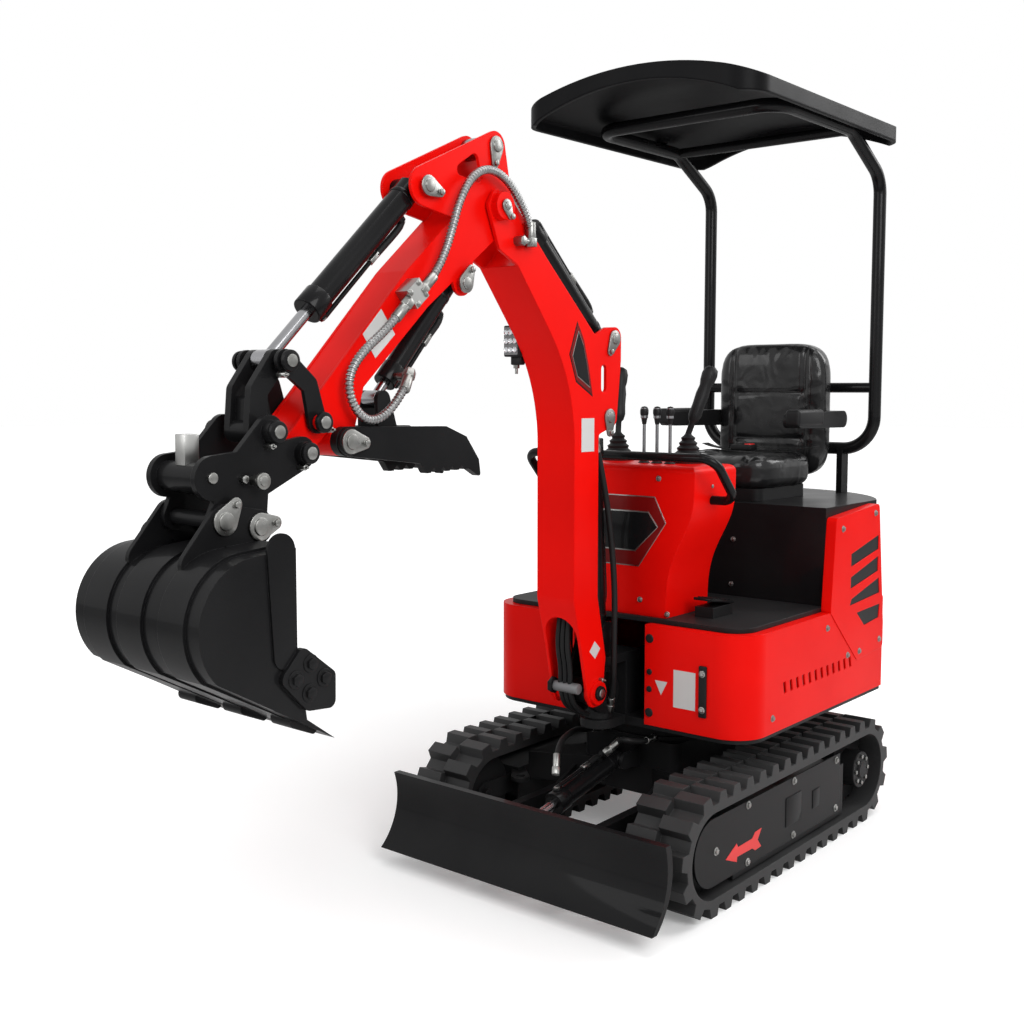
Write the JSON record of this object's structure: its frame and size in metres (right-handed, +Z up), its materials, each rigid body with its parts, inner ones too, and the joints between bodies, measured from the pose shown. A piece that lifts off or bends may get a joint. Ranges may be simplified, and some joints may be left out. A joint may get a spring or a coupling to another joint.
{
  "type": "mini excavator",
  "caption": "Compact tracked excavator with canopy, slewing upper body, swinging boom, arm, bucket on a quick hitch, thumb and dozer blade.",
  "frame": {"origin": "on the ground, on the slewing axis, midway between the tracks", "axes": "+X operator's left, -Y the front of the machine, +Z up"},
  "size_m": [0.935, 2.7559, 2.292],
  "materials": {
    "red": "gloss enamel",
    "black": "satin enamel",
    "track": "moulded",
    "mat": "ribbed",
    "engine": "cast",
    "chrome": "polished",
    "vinyl": "grained",
    "plastic": "moulded",
    "block": "machined"
  },
  "bodies": {
    "undercarriage": {"car_body": "black", "track_frames": "black", "track_left": "track", "track_right": "track", "sprockets": "black", "idlers": "black", "rollers": "black", "side_covers": "black", "slew_bearing": "black"},
    "blade": {"blade": "black"},
    "blade_barrel": {"blade_cylinder_barrel": "black"},
    "blade_rod": {"blade_cylinder_rod": "chrome"},
    "upper": {"turntable": "black", "skirt_left": "red", "skirt_right": "red", "counterweight": "red", "floor_mat": "mat", "engine_block": "engine", "hood": "black", "side_panel_left": "red", "side_panel_right": "red", "rear_cover": "red", "console": "red", "joysticks": "plastic", "levers": "chrome", "pedals": "black", "handrail": "black", "seat_mount": "black", "seat_cushion": "vinyl", "seat_back": "vinyl", "armrests": "plastic", "canopy_frame": "black", "canopy_roof": "plastic"},
    "swing_bracket": {"swing_bracket": "black"},
    "boom": {"boom": "red", "work_lamp": "plastic"},
    "boom_barrel": {"boom_cylinder_barrel": "black"},
    "boom_rod": {"boom_cylinder_rod": "chrome"},
    "arm_barrel": {"arm_cylinder_barrel": "black"},
    "arm_rod": {"arm_cylinder_rod": "chrome"},
    "arm": {"arm": "red", "valve_block": "block"},
    "thumb": {"thumb": "black"},
    "thumb_barrel": {"thumb_cylinder_barrel": "black"},
    "thumb_rod": {"thumb_cylinder_rod": "chrome"},
    "rocker": {"rocker_links": "black"},
    "bucket_link": {"bucket_link": "black"},
    "bucket_barrel": {"bucket_cylinder_barrel": "black"},
    "bucket_rod": {"bucket_cylinder_rod": "chrome"},
    "bucket": {"quick_hitch": "black", "bucket": "black"}
  },
  "joints": [
    {"name": "slew", "type": "hinge", "parent": "undercarriage", "child": "upper", "pos_m": [0, 0, 0.4], "axis": [0, 0, 1], "continuous": true},
    {"name": "boom_swing", "type": "hinge", "parent": "upper", "child": "swing_bracket", "pos_m": [0, -0.345, 0.5], "axis": [0, 0, 1], "range_deg": [-50, 50]},
    {"name": "boom", "type": "hinge", "parent": "swing_bracket", "child": "boom", "pos_m": [0, -0.444, 0.529], "axis": [1, 0, 0], "range_deg": [-2, 100]},
    {"name": "arm", "type": "hinge", "parent": "boom", "child": "arm", "pos_m": [0, -0.86, 1.82], "axis": [-1, 0, 0], "range_deg": [-30, 85]},
    {"name": "bucket", "type": "hinge", "parent": "arm", "child": "bucket", "pos_m": [0, -1.512, 1.243], "axis": [1, 0, 0], "range_deg": [-60, 70]},
    {"name": "thumb", "type": "hinge", "parent": "arm", "child": "thumb", "pos_m": [0, -1.379, 1.262], "axis": [1, 0, 0], "range_deg": [-85, 0]},
    {"name": "blade", "type": "hinge", "parent": "undercarriage", "child": "blade", "pos_m": [0, -0.3, 0.165], "axis": [1, 0, 0], "range_deg": [-18, 24]},
    {"name": "blade_cylinder_pivot", "type": "hinge", "parent": "undercarriage", "child": "blade_barrel", "pos_m": [0, -0.262, 0.285], "axis": [1, 0, 0], "range_deg": [-17, 22]},
    {"name": "blade_rod_slide", "type": "slide", "parent": "blade_barrel", "child": "blade_rod", "axis": [0, -0.9789, -0.2045], "range_m": [-0.043, 0.054]},
    {"name": "boom_cylinder_pivot", "type": "hinge", "parent": "swing_bracket", "child": "boom_barrel", "pos_m": [0, -0.362, 0.69], "axis": [1, 0, 0], "range_deg": [-5, 106]},
    {"name": "boom_rod_slide", "type": "slide", "parent": "boom_barrel", "child": "boom_rod", "axis": [0, -0.0494, 0.9988], "range_m": [-0.015, 0.284]},
    {"name": "arm_cylinder_pivot", "type": "hinge", "parent": "boom", "child": "arm_barrel", "pos_m": [0, -0.37, 1.514], "axis": [1, 0, 0], "range_deg": [-4, 3]},
    {"name": "arm_rod_slide", "type": "slide", "parent": "arm_barrel", "child": "arm_rod", "axis": [0, -0.7343, 0.6788], "range_m": [-0.2, 0.077]},
    {"name": "thumb_cylinder_pivot", "type": "hinge", "parent": "arm", "child": "thumb_barrel", "pos_m": [0, -0.984, 1.627], "axis": [1, 0, 0], "range_deg": [-2, 14]},
    {"name": "thumb_rod_slide", "type": "slide", "parent": "thumb_barrel", "child": "thumb_rod", "axis": [0, -0.6682, -0.744], "range_m": [-0.01, 0.224]},
    {"name": "rocker", "type": "hinge", "parent": "arm", "child": "rocker", "pos_m": [0, -1.456, 1.305], "axis": [1, 0, 0], "range_deg": [-47, 55]},
    {"name": "bucket_link", "type": "hinge", "parent": "rocker", "child": "bucket_link", "pos_m": [0, -1.541, 1.433], "axis": [1, 0, 0], "range_deg": [-27, 23]},
    {"name": "bucket_cylinder_pivot", "type": "hinge", "parent": "arm", "child": "bucket_barrel", "pos_m": [0, -1.11, 1.84], "axis": [1, 0, 0], "range_deg": [-6, 5]},
    {"name": "bucket_rod_slide", "type": "slide", "parent": "bucket_barrel", "child": "bucket_rod", "axis": [0, -0.7271, -0.6866], "range_m": [-0.112, 0.129]}
  ],
  "couplings": [
    {"joint": "blade_cylinder_pivot", "follows": "blade", "ratio": 0.8332},
    {"joint": "blade_rod_slide", "follows": "blade", "m_per_rad": 0.10414},
    {"joint": "boom_cylinder_pivot", "follows": "boom", "ratio": 1.0319},
    {"joint": "boom_rod_slide", "follows": "boom", "m_per_rad": 0.15686},
    {"joint": "arm_cylinder_pivot", "follows": "arm", "ratio": -0.020301},
    {"joint": "arm_rod_slide", "follows": "arm", "m_per_rad": -0.12826},
    {"joint": "thumb_cylinder_pivot", "follows": "thumb", "ratio": -0.13923},
    {"joint": "thumb_rod_slide", "follows": "thumb", "m_per_rad": -0.14396},
    {"joint": "rocker", "follows": "bucket", "ratio": 0.74422},
    {"joint": "bucket_link", "follows": "bucket", "ratio": -0.34351},
    {"joint": "bucket_cylinder_pivot", "follows": "bucket", "ratio": -0.045775},
    {"joint": "bucket_rod_slide", "follows": "bucket", "m_per_rad": 0.097089}
  ]
}
